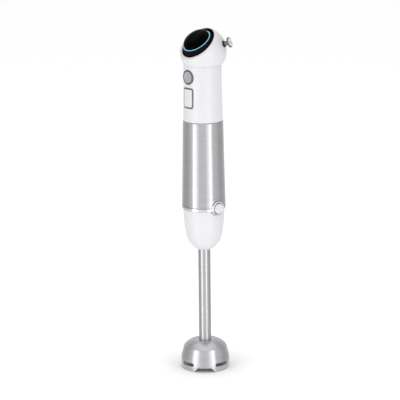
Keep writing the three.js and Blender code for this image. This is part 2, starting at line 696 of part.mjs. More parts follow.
function powerButton() {
  const inset = POWER_FRAME + GAP;
  const corner = POWER_CORNER - POWER_FRAME;
  const outline = roundedRectangle(POWER_WIDTH - 2 * inset, POWER_HEIGHT - 2 * inset, corner);
  return common(gripBand(BUTTON_PROUD, 3.4), throughFront(outline, POWER_Z, 10, 40, 3));
}

place(blender, 'power_bezel', darkChrome, powerBezel());
place(blender, 'power_button', white, powerButton());

const frontFrame = frameAt(new THREE.Vector3(0, 0, TURBO_Z), turnTo(new THREE.Vector3(0, -1, 0)));
place(frontFrame, 'turbo_bezel', darkChrome,
  ring(TURBO_BEZEL_RADIUS, TURBO_BUTTON_RADIUS + GAP, TURBO_FACE_Y - 4.6, TURBO_FACE_Y, 28));
place(frontFrame, 'turbo_button', silver, turned([
  [0, TURBO_FACE_Y - 4],
  [TURBO_BUTTON_RADIUS, TURBO_FACE_Y - 4],
  [TURBO_BUTTON_RADIUS, TURBO_FACE_Y - 0.4],
  [TURBO_BUTTON_RADIUS - 0.8, TURBO_FACE_Y + 0.1],
  [0, TURBO_FACE_Y + 0.3],
], 28));

// Board behind the buttons, with a switch for each
place(blender, 'control_board', board, whole(box(26, BOARD_THICKNESS, 58, 0, BOARD_Y, 348)));
[['power_switch', POWER_Z], ['turbo_switch', TURBO_Z]].forEach(([name, z]) => {
  const back = GAP + BOARD_THICKNESS / 2 - BOARD_Y;
  const front = SWITCH_FACE_Y - PLUNGER_LENGTH;
  const body = box(8, front - back, 8, 0, -(front + back) / 2, z);
  const plunger = box(3.2, PLUNGER_LENGTH + 1, 3.2, 0, -(SWITCH_FACE_Y - (PLUNGER_LENGTH + 1) / 2), z);
  place(blender, name, blackPlastic, join(body, plunger));
});

// ---------------------------------------------------------------- head

const NECK_BORE = 19.6;
const COLLAR_TOP_Z = 378.6;

// The part of a ball round the head's centre that lies above a height.
function ballAbove(radius, height, rows, steps) {
  const start = Math.asin((height - HEAD_CENTRE_Z) / radius);
  const profile = [[0, height]];
  for (let i = 0; i <= rows; i += 1) {
    const latitude = start + ((Math.PI / 2 - start) * i) / rows;
    profile.push([radius * Math.cos(latitude), HEAD_CENTRE_Z + radius * Math.sin(latitude)]);
  }
  profile[profile.length - 1][0] = 0;
  return turned(profile, steps).translate(0, HEAD_SETBACK, 0);
}

function headShell() {
  const collar = disc(GRIP_TOP_RADIUS, HEAD_SEAM_Z, COLLAR_TOP_Z + 0.4, SKIN_STEPS);
  const outside = join(ballAbove(HEAD_RADIUS, COLLAR_TOP_Z, 10, SKIN_STEPS), collar);
  const reach = 90;
  const depth = 40;
  const slab = box(reach, reach, depth, 0, 0, depth / 2);
  const solidBeyond = inFrame(slab.clone().translate(0, 0, DIAL_FLOOR - HEAD_WALL), dialFrame);
  const neck = disc(NECK_BORE, HEAD_SEAM_Z - 2, COLLAR_TOP_Z + 3, SKIN_STEPS);
  const hollow = join(ballAbove(HEAD_RADIUS - HEAD_WALL, COLLAR_TOP_Z + 2, 5, 24), neck);
  return cut(
    outside,
    cut(hollow, solidBeyond),
    inFrame(slab.clone().rotateX(RIM_TILT).translate(0, 0, DIAL_FACE), dialFrame),
    inFrame(disc(DIAL_POCKET_RADIUS, DIAL_FLOOR, depth, SKIN_STEPS), dialFrame),
    inFrame(disc(SPINDLE_BOSS_BORE, 0, depth), dialFrame),
    inFrame(disc(GLAND_NECK_RADIUS + GAP, NECK_BORE, depth), glandFrame),
    inFrame(disc(GASKET_RADIUS + GAP, GASKET_BOTTOM - GAP, depth), glandFrame),
  );
}

place(blender, 'head_shell', white, headShell());

// ---------------------------------------------------------------- dial

const DIAL_STEPS = 36;

// A black cup that lines the pocket, its lip just under the rim.
function dialBase() {
  const reach = 60;
  const above = box(reach, reach, reach, 0, 0, reach / 2).rotateX(RIM_TILT).translate(0, 0, DIAL_FACE - GAP);
  const cup = turned([
    [SPINDLE_BOSS_BORE, DIAL_FLOOR + GAP],
    [DIAL_BASE_RADIUS, DIAL_FLOOR + GAP],
    [DIAL_BASE_RADIUS, DIAL_SHOULDER],
    [DIAL_BASE_BORE, DIAL_SHOULDER],
    [DIAL_BASE_BORE, DIAL_BASE_TOP],
    [SPINDLE_BOSS_BORE, DIAL_BASE_TOP],
  ], DIAL_STEPS);
  return cut(cup, above);
}

place(dialFrame, 'dial_base', gloss, dialBase());

// The skirt carries the light ring and the cap on a shelf.
function dialSkirt() {
  const foot = DIAL_BASE_TOP + 0.4;
  const shelf = DIAL_SHOULDER - 1.6;
  const underside = DIAL_SHOULDER - 3.2;
  const recess = RING_OUTER_RADIUS + GAP;
  const bore = SPINDLE_RADIUS + GAP;
  return turned([
    [bore, underside],
    [bore, foot],
    [SKIRT_RADIUS, foot],
    [SKIRT_RADIUS, foot + 1.2],
    [recess + 0.4, DIAL_SHOULDER],
    [recess, DIAL_SHOULDER],
    [recess, shelf],
    [RING_INNER_RADIUS - 2, shelf],
    [RING_INNER_RADIUS - 2, underside],
  ], DIAL_STEPS);
}

function dialCap() {
  const edge = RING_INNER_RADIUS - GAP;
  const rise = DIAL_CROWN - DIAL_SHOULDER;
  const squareness = 2.6;
  const rows = 6;
  const profile = [[0, DIAL_SHOULDER - 1.3], [edge, DIAL_SHOULDER - 1.3]];
  for (let i = 0; i < rows; i += 1) {
    const angle = (Math.PI / 2) * (i / rows);
    const across = Math.cos(angle) ** (2 / squareness);
    const up = Math.sin(angle) ** (2 / squareness);
    profile.push([edge * across, DIAL_SHOULDER + rise * up]);
  }
  profile.push([0, DIAL_CROWN]);
  return turned(profile, DIAL_STEPS);
}

place(dialFrame, 'dial_skirt', blackPlastic, dialSkirt());
place(dialFrame, 'dial_light_ring', light,
  ring(RING_OUTER_RADIUS, RING_INNER_RADIUS, DIAL_SHOULDER - 1.3, DIAL_SHOULDER + 0.2, DIAL_STEPS));
place(dialFrame, 'dial_cap', gloss, dialCap());

place(dialFrame, 'dial_spindle', steel, disc(SPINDLE_RADIUS, -2.5, DIAL_SHOULDER - 3.5));
place(dialFrame, 'light_board', board, ring(15, SPINDLE_BOSS_BORE, 3.6, 5, 24));
place(dialFrame, 'speed_potentiometer', blackPlastic, ring(8.5, SPINDLE_RADIUS + GAP, -4, 3.2));

// ---------------------------------------------------------------- cord outlet

function cordGland() {
  const back = GLAND_TIP - 2.2;
  const rim = GLAND_FLANGE_RADIUS;
  const seat = GLAND_TIP - 0.8;
  return turned([
    [GLAND_BORE, GLAND_ROOT],
    [GLAND_NECK_RADIUS, GLAND_ROOT],
    [GLAND_NECK_RADIUS, back],
    [rim - 0.7, back],
    [rim, back + 0.7],
    [rim, GLAND_TIP - 0.5],
    [rim - 0.5, GLAND_TIP],
    [GLAND_BUSH_RADIUS + GAP, GLAND_TIP],
    [GLAND_BUSH_RADIUS + GAP, seat],
    [GLAND_BORE, seat],
  ], 20);
}

place(glandFrame, 'cord_gasket', rubber,
  ring(GASKET_RADIUS, GLAND_NECK_RADIUS + GAP, GASKET_BOTTOM, GASKET_TOP));
place(glandFrame, 'cord_gland', darkChrome, cordGland());
place(glandFrame, 'gland_bush', white, ring(GLAND_BUSH_RADIUS, GLAND_BORE, GLAND_TIP - 0.5, GLAND_TIP + 0.2));

// ---------------------------------------------------------------- release buttons

function releaseSpring() {
  const turns = 2;
  const coil = 4.1;
  const pitch = 0.95;
  const wire = 0.28;
  class Helix extends THREE.Curve {
    getPoint(t, target = new THREE.Vector3()) {
      const angle = 2 * Math.PI * turns * t;
      return target.set(coil * Math.cos(angle), coil * Math.sin(angle), turns * pitch * t);
    }
  }
  const section = new THREE.Shape().absarc(0, 0, wire, 0, 2 * Math.PI);
  const options = { steps: 20, curveSegments: 2, bevelEnabled: false, extrudePath: new Helix() };
  return whole(new THREE.ExtrudeGeometry(section, options));
}

sides.forEach(({ side, sign, frame }) => {
  const bezelBack = 21.6;
  const backFace = RELEASE_BUTTON_FACE - 6;
  place(frame, `release_bezel_${side}`, chrome, turned([
    [RELEASE_BEZEL_BORE, bezelBack],
    [RELEASE_BEZEL_RADIUS, bezelBack],
    [RELEASE_BEZEL_RADIUS, RELEASE_BEZEL_FACE - 0.7],
    [RELEASE_BEZEL_RADIUS - 0.7, RELEASE_BEZEL_FACE],
    [RELEASE_BEZEL_BORE, RELEASE_BEZEL_FACE],
  ], 28));
  place(frame, `release_spring_${side}`, steel,
    releaseSpring().translate(0, 0, SPIGOT_RADIUS + 0.75));

  // The button's stem passes the socket wall to a plate, whose hook reaches out again lower down.
  const cap = turned([
    [0, backFace],
    [RELEASE_BUTTON_RADIUS, backFace],
    [RELEASE_BUTTON_RADIUS, RELEASE_BUTTON_FACE - 0.6],
    [RELEASE_BUTTON_RADIUS - 0.7, RELEASE_BUTTON_FACE],
    [0, RELEASE_BUTTON_FACE],
  ], 28);
  const stem = disc(RELEASE_STEM_RADIUS, RELEASE_PLATE_X - 0.1, backFace + 1);
  const button = inFrame(join(cap, stem), frame);
  const plate = box(2, HOOK_SIZE.y, 17, sign * RELEASE_PLATE_X, 0, RELEASE_Z - 8);
  const hook = box(HOOK_SIZE.x, HOOK_SIZE.y, HOOK_SIZE.z, sign * HOOK_X, 0, HOOK_Z);
  const latched = join(button, plate, hook).applyMatrix4(frame.matrixWorld.clone().invert());
  place(frame, `release_button_${side}`, white, latched);
});

export default blender;
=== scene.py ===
"""Immersion blender: the visible pieces, materials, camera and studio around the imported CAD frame.

Shapes are drawn in millimetres, as in the CAD, and turned to metres when a mesh is made.
"""

import json
import math

import bmesh
import bpy
from mathutils import Matrix, Vector


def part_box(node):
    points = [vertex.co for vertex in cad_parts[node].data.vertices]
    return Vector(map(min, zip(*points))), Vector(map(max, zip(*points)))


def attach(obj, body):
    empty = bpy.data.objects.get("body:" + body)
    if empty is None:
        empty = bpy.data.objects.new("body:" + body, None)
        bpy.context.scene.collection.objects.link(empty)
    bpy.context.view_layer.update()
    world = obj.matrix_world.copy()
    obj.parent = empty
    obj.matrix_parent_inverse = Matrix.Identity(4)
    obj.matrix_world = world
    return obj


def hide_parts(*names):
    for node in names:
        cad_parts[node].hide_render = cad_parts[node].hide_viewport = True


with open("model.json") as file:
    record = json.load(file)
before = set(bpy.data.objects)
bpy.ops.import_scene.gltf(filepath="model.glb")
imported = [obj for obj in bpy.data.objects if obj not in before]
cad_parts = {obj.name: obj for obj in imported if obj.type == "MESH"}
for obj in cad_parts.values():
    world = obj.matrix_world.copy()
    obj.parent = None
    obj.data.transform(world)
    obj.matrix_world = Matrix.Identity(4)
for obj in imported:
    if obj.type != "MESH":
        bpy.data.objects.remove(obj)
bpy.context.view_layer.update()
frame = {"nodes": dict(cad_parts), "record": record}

MM = 0.001


def span(node):
    """Lowest and highest corner of a CAD node, in millimetres."""
    low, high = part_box(node)
    return Vector(low) / MM, Vector(high) / MM


# ---------------------------------------------------------------- places read from the frame

SLEEVE_LOW, SLEEVE_HIGH = span("steel_sleeve")
GRIP_LOW, GRIP_HIGH = span("grip_shell")
HOUSING_LOW, HOUSING_HIGH = span("lower_housing")
TRIM_LOW, TRIM_HIGH = span("trim_ring_front")
BELL_HIGH = span("bell_guard")[1]
TUBE_HIGH = span("shaft_tube")[1]
HEAD_LOW, HEAD_HIGH = span("head_shell")
TURBO_LOW, TURBO_HIGH = span("turbo_bezel")
POWER_LOW, POWER_HIGH = span("power_bezel")
RELEASE_LOW, RELEASE_HIGH = span("release_bezel_right")
BUTTON_HIGH = span("release_button_right")[1]

BELL_RADIUS = BELL_HIGH.x
TUBE_RADIUS = TUBE_HIGH.x
HEAD_RADIUS = HEAD_HIGH.x
HEAD_CENTRE = Vector((0, 1.4, 393.3))
DIAL_TILT = math.radians(37)
DIAL_DIRECTION = Vector((0, -math.sin(DIAL_TILT), math.cos(DIAL_TILT)))
GLAND_DIRECTION = Vector((0.826, 0.458, 0.329)).normalized()
RELEASE_Z = (RELEASE_LOW.z + RELEASE_HIGH.z) / 2
TURBO_Z = (TURBO_LOW.z + TURBO_HIGH.z) / 2
TURBO_RADIUS = (TURBO_HIGH.x - TURBO_LOW.x) / 2
POWER_Z = (POWER_LOW.z + POWER_HIGH.z) / 2
POWER_WIDTH = POWER_HIGH.x - POWER_LOW.x
POWER_HEIGHT = POWER_HIGH.z - POWER_LOW.z
THROUGH_GRIP = (10, 40)     # how far in front of the axis the cutters of the grip's front start and end

FINE = 160          # sides of the large turned pieces
MEDIUM = 96
SMALL = 64


# ---------------------------------------------------------------- mesh building

def turn_to(direction, centre=Vector((0, 0, 0))):
    """Places a shape drawn about +Z so that its axis points in a direction."""
    return Matrix.Translation(centre) @ direction.to_track_quat("Z", "Y").to_matrix().to_4x4()


DIAL_PLACE = turn_to(DIAL_DIRECTION, HEAD_CENTRE)
GLAND_PLACE = turn_to(GLAND_DIRECTION, HEAD_CENTRE)
FRONT_PLACE = turn_to(Vector((0, -1, 0)), Vector((0, 0, TURBO_Z)))
POWER_PLACE = Matrix.Translation((0, 0, POWER_Z)) @ Matrix.Rotation(math.pi / 2, 4, "X")


def release_place(sign):
    return turn_to(Vector((sign, 0, 0)), Vector((0, 0, RELEASE_Z)))


def softened(profile, steps=5):
    """Rounds each (radius, height, fillet) corner of an outline; points with no fillet stay sharp."""
    outline = []
    count = len(profile)
    for i, point in enumerate(profile):
        here = Vector(point[:2])
        fillet = point[2] if len(point) > 2 else 0
        before = Vector(profile[i - 1][:2])
        after = Vector(profile[(i + 1) % count][:2])
        if fillet == 0 or i in (0, count - 1) and here.x == 0:
            outline.append(here)
            continue
        reach_in = min(fillet, 0.48 * (before - here).length)
        reach_out = min(fillet, 0.48 * (after - here).length)
        start = here + (before - here).normalized() * reach_in
        end = here + (after - here).normalized() * reach_out
        for k in range(steps + 1):
            t = k / steps
            outline.append((1 - t) ** 2 * start + 2 * t * (1 - t) * here + t ** 2 * end)
    return outline


def curve_through(points, steps=6):
    """A smooth outline through [radius, height] points."""
    spots = [Vector(p) for p in points]
    spots = [2 * spots[0] - spots[1]] + spots + [2 * spots[-1] - spots[-2]]
    outline = []
    for a, b, c, d in zip(spots, spots[1:], spots[2:], spots[3:]):
        for k in range(steps):
            t = k / steps
            outline.append(0.5 * (2 * b + (c - a) * t + (2 * a - 5 * b + 4 * c - d) * t * t
                                  + (3 * b - a - 3 * c + d) * t ** 3))
    outline.append(spots[-2])
    return [(p.x, p.y) for p in outline]


def revolved(outline, sides, shape=None):
    """A closed mesh from an outline about +Z. shape(radius, height, azimuth) may move each point."""
    mesh = bmesh.new()
    rows = []
    for radius, height in outline:
        if radius < 1e-6:
            rows.append([mesh.verts.new((0, 0, height))])
            continue
        row = []
        for k in range(sides):
            azimuth = 2 * math.pi * k / sides
            reach, rise = shape(radius, height, azimuth) if shape else (radius, height)
            row.append(mesh.verts.new((reach * math.cos(azimuth), reach * math.sin(azimuth), rise)))
        rows.append(row)
    closed = all(len(row) > 1 for row in rows)
    pairs = list(zip(rows, rows[1:] + rows[:1])) if closed else list(zip(rows, rows[1:]))
    for low, high in pairs:
        for k in range(sides):
            n = (k + 1) % sides
            corners = [low[k % len(low)], low[n % len(low)], high[n % len(high)], high[k % len(high)]]
            corners = list(dict.fromkeys(corners))
            if len(corners) > 2:
                mesh.faces.new(corners)
    bmesh.ops.recalc_face_normals(mesh, faces=mesh.faces)
    return mesh


def prism(points, low, high):
    """A closed mesh from an outline in X and Y, between two heights."""
    mesh = bmesh.new()
    bottom = [mesh.verts.new((x, y, low)) for x, y in points]
    top = [mesh.verts.new((x, y, high)) for x, y in points]
    mesh.faces.new(bottom)
    mesh.faces.new(top)
    for k in range(len(points)):
        n = (k + 1) % len(points)
        mesh.faces.new((bottom[k], bottom[n], top[n], top[k]))
    bmesh.ops.recalc_face_normals(mesh, faces=mesh.faces)
    return mesh


def block(low, high):
    (x0, y0, z0), (x1, y1, z1) = low, high
    return prism([(x0, y0), (x1, y0), (x1, y1), (x0, y1)], z0, z1)


def rounded_rectangle(width, height, corner, steps=8):
    points = []
    for quarter, (sx, sy) in enumerate(((1, 1), (-1, 1), (-1, -1), (1, -1))):
        centre = Vector((sx * (width / 2 - corner), sy * (height / 2 - corner)))
        for k in range(steps + 1):
            angle = (quarter + k / steps) * math.pi / 2
            points.append(centre + corner * Vector((math.cos(angle), math.sin(angle))))
    return points


def circle(radius, sides=SMALL):
    return [(radius * math.cos(2 * math.pi * k / sides), radius * math.sin(2 * math.pi * k / sides))
            for k in range(sides)]


def with_fillets(corners, fillet, steps=5):
    return softened([(x, y, fillet) for x, y in corners], steps)


def merged(*meshes):
    """Several bmeshes as one, each still a closed body."""
    total = bmesh.new()
    scratch = bpy.data.meshes.new("scratch")
    for mesh in meshes:
        mesh.to_mesh(scratch)
        total.from_mesh(scratch)
        mesh.free()
    bpy.data.meshes.remove(scratch)
    return total


def made(name, mesh, place=None):
    """An object in metres from a bmesh in millimetres."""
    if place is not None:
        mesh.transform(place)
    mesh.transform(Matrix.Scale(MM, 4))
    data = bpy.data.meshes.new(name)
    mesh.to_mesh(data)
    mesh.free()
    piece = bpy.data.objects.new(name, data)
    bpy.context.scene.collection.objects.link(piece)
    return piece


def applied(piece):
    """Turns a piece's modifiers into its mesh."""
    graph = bpy.context.evaluated_depsgraph_get()
    data = bpy.data.meshes.new_from_object(piece.evaluated_get(graph))
    piece.modifiers.clear()
    old = piece.data
    piece.data = data
    bpy.data.meshes.remove(old)
    return piece


def carved(piece, cutters, operation="DIFFERENCE"):
    for cutter in cutters:
        step = piece.modifiers.new("carve", "BOOLEAN")
        step.solver = "EXACT"
        step.operation = operation
        step.object = cutter
    applied(piece)
    for cutter in cutters:
        bpy.data.objects.remove(cutter)
    return piece


def bevelled(piece, width, segments=2, angle=40):
    step = piece.modifiers.new("bevel", "BEVEL")
    step.width = width * MM
    step.segments = segments
    step.limit_method = "ANGLE"
    step.angle_limit = math.radians(angle)
    step.use_clamp_overlap = True
    return applied(piece)


def smoothed(piece, angle=32):
    """Smooth shading, with a crease wherever two faces meet at more than an angle."""
    mesh = bmesh.new()
    mesh.from_mesh(piece.data)
    bmesh.ops.remove_doubles(mesh, verts=mesh.verts, dist=1e-7)
    bmesh.ops.dissolve_degenerate(mesh, edges=mesh.edges, dist=1e-7)
    limit = math.radians(angle)
    for face in mesh.faces:
        face.smooth = True
    for edge in mesh.edges:
        edge.smooth = len(edge.link_faces) == 2 and edge.calc_face_angle(0) < limit
    mesh.to_mesh(piece.data)
    mesh.free()
    return piece


def finished(piece, material, slot, body, *nodes, angle=32):
    """The last step of each piece: shading, material, the body it rides on and the nodes it stands for."""
    smoothed(piece, angle)
    piece.data.materials.clear()
    piece.data.materials.append(material)
    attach(piece, body)
    if nodes:
        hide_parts(*nodes)
    return piece


# ---------------------------------------------------------------- materials

class Surface:
    """A material on a Principled shader, with short calls for its nodes."""

    def __init__(self, name, colour, roughness, metallic=0.0, **constants):
        self.material = bpy.data.materials.new(name)
        self.material.use_nodes = True
        self.tree = self.material.node_tree
        self.shader = self.tree.nodes["Principled BSDF"]
        self.colour = colour
        self.roughness = roughness
        self.set("Base Color", (*colour, 1))
        self.set("Roughness", roughness)
        self.set("Metallic", metallic)
        for socket, value in constants.items():
            self.set(socket.replace("_", " "), value)

    def set(self, socket, value):
        self.shader.inputs[socket].default_value = value

    def node(self, kind, values=None, **settings):
        node = self.tree.nodes.new(kind)
        for name, value in settings.items():
            setattr(node, name, value)
        for socket, value in (values or {}).items():
            if isinstance(value, bpy.types.NodeSocket):
                self.tree.links.new(value, node.inputs[socket])
            else:
                node.inputs[socket].default_value = value
        return node

    def place(self, stretch=(1, 1, 1)):
        """Object coordinates in metres, scaled along each axis."""
        spot = self.node("ShaderNodeTexCoord").outputs["Object"]
        return self.node("ShaderNodeMapping", {"Vector": spot, "Scale": stretch}).outputs["Vector"]

    def noise(self, scale, stretch=(1, 1, 1), detail=3.0, roughness=0.5):
        values = {"Vector": self.place(stretch), "Scale": scale, "Detail": detail, "Roughness": roughness}
        return self.node("ShaderNodeTexNoise", values).outputs["Fac"]

    def range(self, value, low, high, start=0.3, end=0.7):
        values = {"Value": value, "From Min": start, "From Max": end, "To Min": low, "To Max": high}
        return self.node("ShaderNodeMapRange", values).outputs["Result"]

    def math(self, operation, first, second):
        return self.node("ShaderNodeMath", {0: first, 1: second}, operation=operation).outputs["Value"]

    def vary_roughness(self, value, spread):
        self.tree.links.new(self.range(value, self.roughness - spread, self.roughness + spread),
                            self.shader.inputs["Roughness"])

    def vary_colour(self, value, dark, bright=1.0):
        """Base colour from dark times to bright times the material's own, as value goes up."""
        mix = self.node("ShaderNodeMix", {"Factor": self.range(value, 0, 1)}, data_type="RGBA")
        mix.inputs[6].default_value = (*[c * dark for c in self.colour], 1)
        mix.inputs[7].default_value = (*[min(1, c * bright) for c in self.colour], 1)
        self.tree.links.new(mix.outputs[2], self.shader.inputs["Base Color"])

    def bump(self, value, height, strength=1.0):
        values = {"Height": value, "Distance": height * MM, "Strength": strength}
        node = self.node("ShaderNodeBump", values)
        previous = self.shader.inputs["Normal"].links
        if previous:
            self.tree.links.new(previous[0].from_socket, node.inputs["Normal"])
        self.tree.links.new(node.outputs["Normal"], self.shader.inputs["Normal"])


def moulded_white(name, colour=(0.695, 0.695, 0.71)):
    """Satin injection-moulded plastic: a fine grain, faint flow marks and slight wear in its gloss."""
    s = Surface(name, colour, 0.3, Specular_IOR_Level=0.5, Coat_Weight=0.1, Coat_Roughness=0.2)
    s.vary_colour(s.noise(22, (1, 1, 0.35)), 0.992, 1.005)
    s.vary_roughness(s.noise(140, detail=4), 0.03)
    s.bump(s.noise(2600, detail=2), 0.006, 0.15)
    s.bump(s.noise(40, detail=1), 0.01, 0.08)
    return s.material


def brushed_steel(name, colour=(0.56, 0.56, 0.57), roughness=0.36, vertical=2600, around=55, anisotropy=0.9):
    """Steel brushed round its axis: fine rings of scratches, a few deeper ones, and handling marks."""
    s = Surface(name, colour, roughness, 1.0, Anisotropic=anisotropy, Anisotropic_Rotation=0.25)
    tangent = s.node("ShaderNodeTangent", direction_type="RADIAL", axis="Z")
    s.tree.links.new(tangent.outputs["Tangent"], s.shader.inputs["Tangent"])
    grain = s.noise(1, (around, around, vertical), detail=5, roughness=0.65)
    lines = s.noise(1, (around * 0.3, around * 0.3, vertical * 0.28), detail=3)
    s.vary_colour(s.math("ADD", s.math("MULTIPLY", grain, 0.7), s.math("MULTIPLY", lines, 0.3)), 0.86, 1.12)
    marks = s.noise(38, detail=4)
    s.vary_roughness(s.math("ADD", s.math("MULTIPLY", grain, 0.5), s.math("MULTIPLY", marks, 0.5)), 0.07)
    s.bump(grain, 0.01, 0.5)
    return s.material


def chrome(name, colour=(0.78, 0.79, 0.81), roughness=0.08):
    """Plated trim: a mirror with faint waviness, fine scratches and a little haze."""
    s = Surface(name, colour, roughness, 1.0)
    s.vary_colour(s.noise(160, detail=3), 0.93, 1.03)
    s.vary_roughness(s.noise(700, (1, 1, 0.2), detail=5), roughness * 0.45)
    s.bump(s.noise(240, detail=2), 0.015, 0.25)
    return s.material


def smoked_metal(name):
    """Dark satin plating on the thin frames: it stays dark at a grazing angle."""
    s = Surface(name, (0.17, 0.172, 0.18), 0.36, 0.45, Specular_IOR_Level=0.2)
    s.vary_colour(s.noise(160, detail=3), 0.9, 1.05)
    s.vary_roughness(s.noise(700, (1, 1, 0.2), detail=5), 0.06)
    s.bump(s.noise(900, detail=2), 0.006, 0.25)
    return s.material


def silver_paint(name):
    """Metallic paint on the round button: fine flakes under a clear coat."""
    s = Surface(name, (0.5, 0.505, 0.53), 0.34, 0.6, Coat_Weight=0.4, Coat_Roughness=0.15)
    flakes = s.node("ShaderNodeTexVoronoi", {"Vector": s.place(), "Scale": 5200})
    s.vary_colour(flakes.outputs["Distance"], 0.9, 1.12)
    s.vary_roughness(s.noise(500), 0.05)
    s.bump(s.noise(3000, detail=2), 0.006, 0.3)
    return s.material


def gloss_black(name):
    """Piano-black plastic with dust and hairline swirls in its gloss."""
    s = Surface(name, (0.0004, 0.0004, 0.0006), 0.08, IOR=1.08)
    s.vary_colour(s.noise(90), 0.7, 1.4)
    s.vary_roughness(s.math("MULTIPLY", s.noise(1400, detail=5), s.noise(60)), 0.03)
    s.bump(s.noise(45, detail=1), 0.01, 0.15)
    return s.material


def matt_plastic(name, colour, roughness=0.5, specular=0.4):
    """Spark-eroded matt plastic with a fine grain."""
    s = Surface(name, colour, roughness, Specular_IOR_Level=specular)
    s.vary_colour(s.noise(120, detail=3), 0.88, 1.1)
    s.vary_roughness(s.noise(420), 0.07)
    s.bump(s.noise(3600, detail=3), 0.03, 0.5)
    return s.material


def lit_ring(name):
    """Translucent ring lit from below: bluer on one side, greener on the other, with soft hot spots."""
    s = Surface(name, (0.16, 0.5, 0.68), 0.3)
    side = s.node("ShaderNodeSeparateXYZ", {"Vector": s.place()}).outputs["X"]
    ramp = s.node("ShaderNodeMix", {"Factor": s.range(side, 0, 1, -18 * MM, 18 * MM)}, data_type="RGBA")
    ramp.inputs[6].default_value = (0.22, 0.48, 0.8, 1)
    ramp.inputs[7].default_value = (0.09, 0.5, 0.6, 1)
    s.tree.links.new(ramp.outputs[2], s.shader.inputs["Emission Color"])
    s.tree.links.new(s.range(s.noise(120), 0.5, 0.72), s.shader.inputs["Emission Strength"])
    s.bump(s.noise(900), 0.02, 0.3)
    return s.material


def rubber(name):
    s = Surface(name, (0.012, 0.012, 0.013), 0.7, Specular_IOR_Level=0.3, Sheen_Weight=0.08)
    s.vary_colour(s.noise(260, detail=4), 0.75, 1.5)
    s.vary_roughness(s.noise(900), 0.08)
    s.bump(s.noise(2400, detail=4), 0.04, 0.6)
    return s.material


def machined(name, colour, roughness=0.28, scale=1800):
    """Turned or ground metal: rings of tool marks and stains."""
    s = Surface(name, colour, roughness, 1.0)
    marks = s.noise(1, (90, 90, scale), detail=4)
    s.vary_colour(s.math("MULTIPLY", marks, s.range(s.noise(150), 0.8, 1.3)), 0.8, 1.15)
    s.vary_roughness(s.noise(300, detail=4), 0.08)
    s.bump(marks, 0.015, 0.5)
    return s.material


def winding(name):
    """Enamelled wire laid side by side."""
    s = Surface(name, (0.42, 0.14, 0.05), 0.3, 0.6, Coat_Weight=0.6, Coat_Roughness=0.15)
    wires = s.node("ShaderNodeTexWave", {"Vector": s.place(), "Scale": 420, "Distortion": 1.2, "Detail": 2},
                   bands_direction="Z").outputs["Fac"]
    s.vary_colour(wires, 0.5, 1.3)
    s.vary_roughness(s.noise(500), 0.08)
    s.bump(wires, 0.25, 0.8)
    return s.material


def laminated(name):
    """A stack of thin steel sheets."""
    s = Surface(name, (0.2, 0.2, 0.215), 0.42, 0.9)
    sheets = s.node("ShaderNodeTexWave", {"Vector": s.place(), "Scale": 330, "Distortion": 0.1},
                    bands_direction="Z").outputs["Fac"]
    s.vary_colour(s.math("MULTIPLY", sheets, s.range(s.noise(120), 0.7, 1.3)), 0.6, 1.2)
    s.vary_roughness(s.noise(260), 0.1)
    s.bump(sheets, 0.12, 0.8)
    return s.material


def circuit_board(name):
    """Solder mask over copper tracks."""
    s = Surface(name, (0.012, 0.11, 0.045), 0.35, Coat_Weight=0.4, Coat_Roughness=0.2)
    tracks = s.node("ShaderNodeTexBrick", {"Vector": s.place((1, 1, 1)), "Scale": 160, "Mortar Size": 0.03})
    s.vary_colour(tracks.outputs["Fac"], 1.0, 1.7)
    s.vary_roughness(s.noise(400), 0.06)
    s.bump(tracks.outputs["Fac"], 0.035, 0.7)
    return s.material


WHITE = moulded_white("moulded_white")
STEEL = brushed_steel("sleeve_steel")
TUBE_STEEL = brushed_steel("tube_steel", (0.55, 0.55, 0.56), 0.34, 2200, 90)
BELL_STEEL = brushed_steel("bell_steel", (0.53, 0.53, 0.54), 0.32, 1500, 45, 0.7)
CHROME = chrome("chrome")
DARK_CHROME = smoked_metal("smoked_metal")
SILVER = silver_paint("silver_paint")
GLOSS = gloss_black("gloss_black")
KNURL = matt_plastic("knurled_black", (0.002, 0.002, 0.003), 0.4, 0.08)
LIT = lit_ring("lit_ring")

CAD_FINISHES = {
    "white_plastic": WHITE,
    "brushed_steel": STEEL,
    "chrome": CHROME,
    "dark_chrome": DARK_CHROME,
    "silver_button": SILVER,
    "gloss_black": GLOSS,
    "black_plastic": matt_plastic("black_plastic", (0.012, 0.012, 0.013), 0.5),
    "grey_plastic": matt_plastic("grey_plastic", (0.13, 0.135, 0.145), 0.48),
    "light_ring": LIT,
    "rubber": rubber("rubber"),
    "bronze": machined("sintered_bronze", (0.45, 0.27, 0.11), 0.4, 900),
    "copper": winding("copper_winding"),
    "steel": machined("ground_steel", (0.5, 0.5, 0.52), 0.26),
    "laminations": laminated("laminations"),
    "carbon": matt_plastic("pressed_carbon", (0.02, 0.02, 0.021), 0.6),
    "circuit_board": circuit_board("circuit_board"),
}


def finish_cad_nodes():
    """Every CAD node gets its slot's finish; the detailed pieces then stand for the visible ones."""
    slots = {row["node"]: row["material_slot"] for row in frame["record"]["subparts"]}
    for name, node in frame["nodes"].items():
        node.data.materials.clear()
        node.data.materials.append(CAD_FINISHES[slots[name]])


# ---------------------------------------------------------------- bell

BELL_TOP_Z = 34.9
CREASE_Z = 27
CREASE_RADIUS = 26.2
BELL_WALL = 1.3
BELL_BORE = 6.7
BELL_TURN = math.radians(4)
NOTCH = [(-14.6, -2), (14.6, -2), (8.4, 5.6), (-8.4, 5.6)]
SLOT_Z = 8.8
SLOT_LENGTH = 18.6
SLOT_HEIGHT = 4.2


